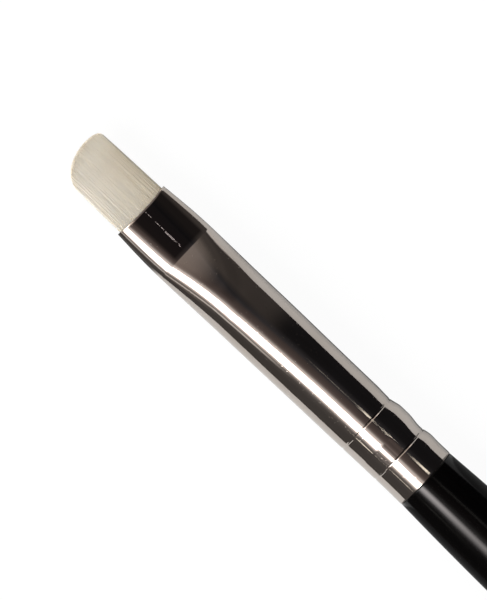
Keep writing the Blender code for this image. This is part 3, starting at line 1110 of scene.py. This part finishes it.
# %% [markdown]
# ## Finishes
#
# Each finish starts as a Principled shader. Its patterns come from noise on the Object
# coordinates, which are metres here, so a scale of 1000 has features of about a millimetre.
# Stretching the pattern along X turns spots into drawn lines. An image would need an unwrapped
# surface, and would blur when the camera comes close.

# %% Helpers for finishes
MICRON = 0.001 * MM


def new_finish(name, colour, roughness, **sockets):
    """Principled material on the bench, with its even values on the shader's own sockets."""
    finish = bpy.data.materials.new(name)
    work_on(finish)
    shader = bench["shader"] = finish.node_tree.nodes["Principled BSDF"]
    feed(colour, shader.inputs["Base Color"])
    feed(roughness, shader.inputs["Roughness"])
    for socket, value in sockets.items():
        shader.inputs[socket.replace("_", " ")].default_value = value
    return finish


def vary(socket, pattern):
    """Puts a pattern in the place of an even value of the finish on the bench."""
    feed(pattern, bench["shader"].inputs[socket])


def spots(scale, stretch=(1, 1, 1), detail=2.0, roughness=0.5):
    """Noise with a number of features to the metre, squeezed by stretch."""
    mapping = add_node("Mapping")
    mapping.inputs["Scale"].default_value = stretch
    noise = add_node("TexNoise")
    feed(scale, noise.inputs["Scale"])
    feed(detail, noise.inputs["Detail"])
    feed(roughness, noise.inputs["Roughness"])
    feed(add_node("TexCoord").outputs["Object"], mapping.inputs["Vector"])
    feed(mapping.outputs[0], noise.inputs["Vector"])
    return noise.outputs["Fac"]


def blend_colours(share, first, second):
    """Colour that goes from first to second with share."""
    node = add_node("Mix")
    node.data_type = "RGBA"
    feed(share, node.inputs["Factor"])
    feed(first, node.inputs["A"])
    feed(second, node.inputs["B"])
    return node.outputs["Result"]


def raise_surface(height, depth):
    """Bump of a given depth in microns. A second call goes over the first."""
    normal = bench["shader"].inputs["Normal"]
    bump = add_node("Bump")
    feed(height, bump.inputs["Height"])
    feed(depth * MICRON, bump.inputs["Distance"])
    if normal.is_linked:
        feed(normal.links[0].from_socket, bump.inputs["Normal"])
    feed(bump.outputs[0], normal)


def dress(piece, finish):
    """Gives a piece one finish."""
    piece.data.materials.clear()
    piece.data.materials.append(finish)


print("finishes can be mixed")

# %% [markdown]
# Nickel plate is a little warmer and darker than chrome. Drawing the tube leaves faint lines
# along it, polishing leaves a soft haze of fine scratches, and handling leaves smudges. All three
# show in the roughness more than in the colour. The wedge's flats are given a much darker plate
# colour, up to just before the crease: painted shade, which darkens what the flats mirror.

# %% Bright nickel
PLATE = (0.52, 0.47, 0.43)
TARNISHED = (0.47, 0.42, 0.375)
FLATS_PAINTED_DARK = (0.145, 0.127, 0.121)
PAINTED_DARK_UNTIL = (CREASE_AT - 0.4, CREASE_AT)
PAINTED_DARK_SIDES = ((-1.3, -0.9), (2.2, 2.45))

nickel = new_finish("bright_nickel", (0.50, 0.45, 0.41), 0.08, Metallic=1.0)
x, y, _ = object_place()
tarnish = to_range(spots(260, detail=4), 0.35, 0.7, 0, 1)
plate = blend_colours(tarnish, PLATE, TARNISHED)
# Painted shade: the wedge's flats get a dark plate colour, which dims what they mirror.
painted_dark_flats = times(
    to_range(x, *along_at(*PAINTED_DARK_UNTIL), 1, 0),
    hill(y, *(across_at(*side) for side in PAINTED_DARK_SIDES)),
)
vary("Base Color", blend_colours(painted_dark_flats, plate, FLATS_PAINTED_DARK))

drawn = spots(9000, stretch=(0.02, 1, 1), detail=3, roughness=0.6)
smudge = to_range(spots(420, detail=5, roughness=0.62), 0.52, 0.72, 0, 0.05)
vary("Roughness", plus(to_range(drawn, 0.3, 0.75, 0.02, 0.055), smudge))
raise_surface(drawn, 1.2)
raise_surface(spots(330, stretch=(0.35, 1, 1)), 4)
print("drawn lines 1.2 microns high")

# %% [markdown]
# A worn spot on the jaws leaves scratches along the flat, whose raised edges glitter in dashes,
# and dust in the plating bath leaves specks. Both are bumps, so they catch the light only where
# they face it. A scratch is given by how far beside the axis it lies, where it starts and ends,
# and its height.

# %% Scratches and specks
SCRATCHES = ((0.18, 0.3, 1.3, 12), (0.16, 1.5, 4.7, 14), (0.08, 2.7, 4.9, 14))
SCRATCH_HALF_WIDTH = 0.035
SCRATCH_FADES = 0.2

dashes = to_range(spots(5200), 0.38, 0.55, 0, 1)
for beside, start, end, ridge_height in SCRATCHES:
    aside = combine("ABSOLUTE", minus(y, beside * MM))
    ridge = to_range(aside, *across_at(0, SCRATCH_HALF_WIDTH), 1, 0)
    rise, fall = along_at(start, start + SCRATCH_FADES), along_at(end - SCRATCH_FADES, end)
    raise_surface(times(ridge, hill(x, rise, fall), dashes), ridge_height)
specks = to_range(spots(5200, detail=1), 0.72, 0.78, 0, 1)
raise_surface(specks, 2.5)
print(len(SCRATCHES), "scratches")

# %% [markdown]
# Behind the front groove the crimping jaw left a shallow flat mark on the upper side, where the
# white band steps sideways. Its edges are sharp at the rear and soft in front, and a low crest
# runs through its middle, so a bump of 30 microns bends the reflection enough. A true dent would
# need far more rings than the tube has.

# %% The jaw's mark
JAW_DEPTH = 30
JAW_FRONT = (28.65, 28.9)
JAW_REAR = (30.41, 30.49)
JAW_SIDES = ((-2.65, -1.65), (0.15, 0.55))
JAW_CREST_AT = -0.75
JAW_CREST_WIDTH = 0.55

from_crest = combine("ABSOLUTE", minus(y, JAW_CREST_AT * MM))
jaw_mark = times(
    to_range(from_crest, *across_at(0, JAW_CREST_WIDTH), 0, 1, "SMOOTHSTEP"),
    hill(y, *(across_at(*side) for side in JAW_SIDES), "SMOOTHSTEP"),
    to_range(x, *along_at(*JAW_FRONT), 0, 1, "SMOOTHSTEP"),
    to_range(x, *along_at(*JAW_REAR), 1, 0),
)
raise_surface(minus(1.0, jaw_mark), JAW_DEPTH)
dress(ferrule, nickel)
print("nickel on the ferrule, jaw's mark", JAW_DEPTH, "microns deep")

# %% [markdown]
# The lacquer is black right through and levels almost like glass. A slight orange peel is left,
# about a millimetre across, with a few specks of dust under the last coat and the faintest
# trace of the wood's grain. Hands have left a slight haze on it, which blurs small lights until
# only the softbox's core still makes a stripe. Its index of refraction is low, or that stripe
# and the dim surroundings would both be too bright.

# %% Black lacquer
LACQUER = (0.0006, 0.0005, 0.0005)
LACQUER_ON_GRAIN = (0.0016, 0.0013, 0.0013)

lacquer = new_finish("black_lacquer", (0.001, 0.0009, 0.0009), 0.12, IOR=1.28)
worn = to_range(spots(180, detail=5, roughness=0.6), 0.45, 0.75, 0.11, 0.14)
vary("Roughness", worn)
grain = to_range(spots(2200, stretch=(0.04, 1, 1), detail=4), 0.4, 0.8, 0, 1)
vary("Base Color", blend_colours(grain, LACQUER, LACQUER_ON_GRAIN))
raise_surface(spots(700, stretch=(0.5, 1, 1)), 1.2)
raise_surface(to_range(spots(2600), 0.74, 0.8, 0, 1), 4)
dress(handle, lacquer)
print("lacquer on the handle")

# %% [markdown]
# Ivory nylon lets light into it, so a bundle looks soft and creamy, and subsurface scattering
# gives it that. The tone attribute makes single filaments lighter or darker, and long thin noise
# adds the streaks that run over many of them. Light and shade are also painted into the colour
# over the whole bundle: a painted light makes it paler on the near side, which faces the main
# lamp, and towards the tips, and a painted shade makes the outermost filaments on the far side
# darker. The colour is also darker towards the roots, over the last 4 mm before the mouth.

# %% Ivory nylon
NYLON_PAINTED_LIT_SIDE = (0.865, 0.757, 0.604)
NYLON_PAINTED_SHADED_SIDE = (0.67, 0.543, 0.384)
NYLON_PAINTED_LIT_TIPS = (1.0, 0.89, 0.69)
NYLON_PAINTED_EDGE_SHADE = (0.27, 0.23, 0.18)
NYLON_DARKENED = (0.34, 0.28, 0.20)
TONE_SHARE = 0.45

nylon = new_finish(
    "ivory_nylon", (0.60, 0.52, 0.43), 0.42, Sheen_Weight=0.15, Subsurface_Weight=0.46,
    Subsurface_Radius=(1.0, 0.75, 0.5), Subsurface_Scale=0.6 * MM,
)
x, y, _ = object_place()
# Painted light and shade: paler on the near side and at the tips, darker at the far edge.
painted_side_light = to_range(y, *across_at(-2.6, 2.6), 0, 1)
painted_tip_light = to_range(x, *along_at(-7.2, -4.4), 0.72, 0, "SMOOTHSTEP")
painted_edge_shade = to_range(y, *across_at(2.38, 2.48), 0, 0.55)
painted_light_nylon = blend_colours(painted_side_light, NYLON_PAINTED_LIT_SIDE, NYLON_PAINTED_SHADED_SIDE)
painted_light_nylon = blend_colours(painted_tip_light, painted_light_nylon, NYLON_PAINTED_LIT_TIPS)
painted_light_nylon = blend_colours(painted_edge_shade, painted_light_nylon, NYLON_PAINTED_EDGE_SHADE)

tone = add_node("Attribute")
tone.attribute_name = "tone"
own_tone = times(tone.outputs["Fac"], TONE_SHARE)
streaks = spots(2400, stretch=(0.05, 1, 1), detail=3)
# Darker towards the mouth over the last 4 mm, and by each filament's tone and the streaks.
darkening = plus(
    to_range(x, *along_at(-4.0, 0), 0, 0.26),
    to_range(plus(own_tone, streaks), 0.4, 1.1, 0.06, 0.02),
)
vary("Base Color", blend_colours(darkening, painted_light_nylon, NYLON_DARKENED))
vary("Roughness", to_range(spots(5200, stretch=(0.1, 1, 1)), 0.3, 0.7, 0.42, 0.60))
raise_surface(spots(9000, stretch=(0.08, 1, 1)), 2)
dress(hair, nylon)
print("nylon on the hair")

# %% [markdown]
# Inside the ferrule the same nylon is soaked with glue. It is darker and yellower there, and a
# thin coat makes it glossy. The filaments show only as ridges, so a bump is enough.

# %% Soaked roots
soaked = new_finish("soaked_roots", (0.60, 0.515, 0.41), 0.35, Coat_Weight=0.3)
ridges = to_range(spots(3000, stretch=(0.05, 1, 1), detail=4), 0.3, 0.7, 0, 1)
vary("Base Color", blend_colours(ridges, (0.50, 0.40, 0.28), (0.66, 0.57, 0.45)))
raise_surface(ridges, 20)
dress(roots, soaked)
print("glue on the roots")

# %% [markdown]
# Two CAD solids keep their own shape and only get a finish: the thread that ties the roots, and
# the epoxy behind them. Waxed cotton shows slanting plies, and poured epoxy has small bubbles and
# cloudy streaks.

# %% Thread and resin
cotton = new_finish("waxed_cotton", (0.70, 0.66, 0.58), 0.75, Sheen_Weight=0.4)
plies = spots(5200, stretch=(1, 0.25, 0.25), detail=4)
lit_plies = to_range(plies, 0.35, 0.65, 0, 1)
vary("Base Color", blend_colours(lit_plies, (0.55, 0.50, 0.41), (0.78, 0.74, 0.66)))
raise_surface(plies, 40)

epoxy = new_finish("amber_epoxy", (0.45, 0.27, 0.08), 0.16, Coat_Weight=0.5)
cloud = to_range(spots(900, detail=5, roughness=0.6), 0.4, 0.7, 0, 1)
vary("Base Color", blend_colours(cloud, (0.42, 0.24, 0.06), (0.62, 0.43, 0.19)))
vary("Roughness", to_range(cloud, 0, 1, 0.14, 0.29))
raise_surface(to_range(spots(4200), 0.68, 0.74, 0, 1), 50)

dress(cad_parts["root_binding"], cotton)
dress(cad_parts["resin_plug"], epoxy)
print("cotton on the thread, epoxy on the plug")
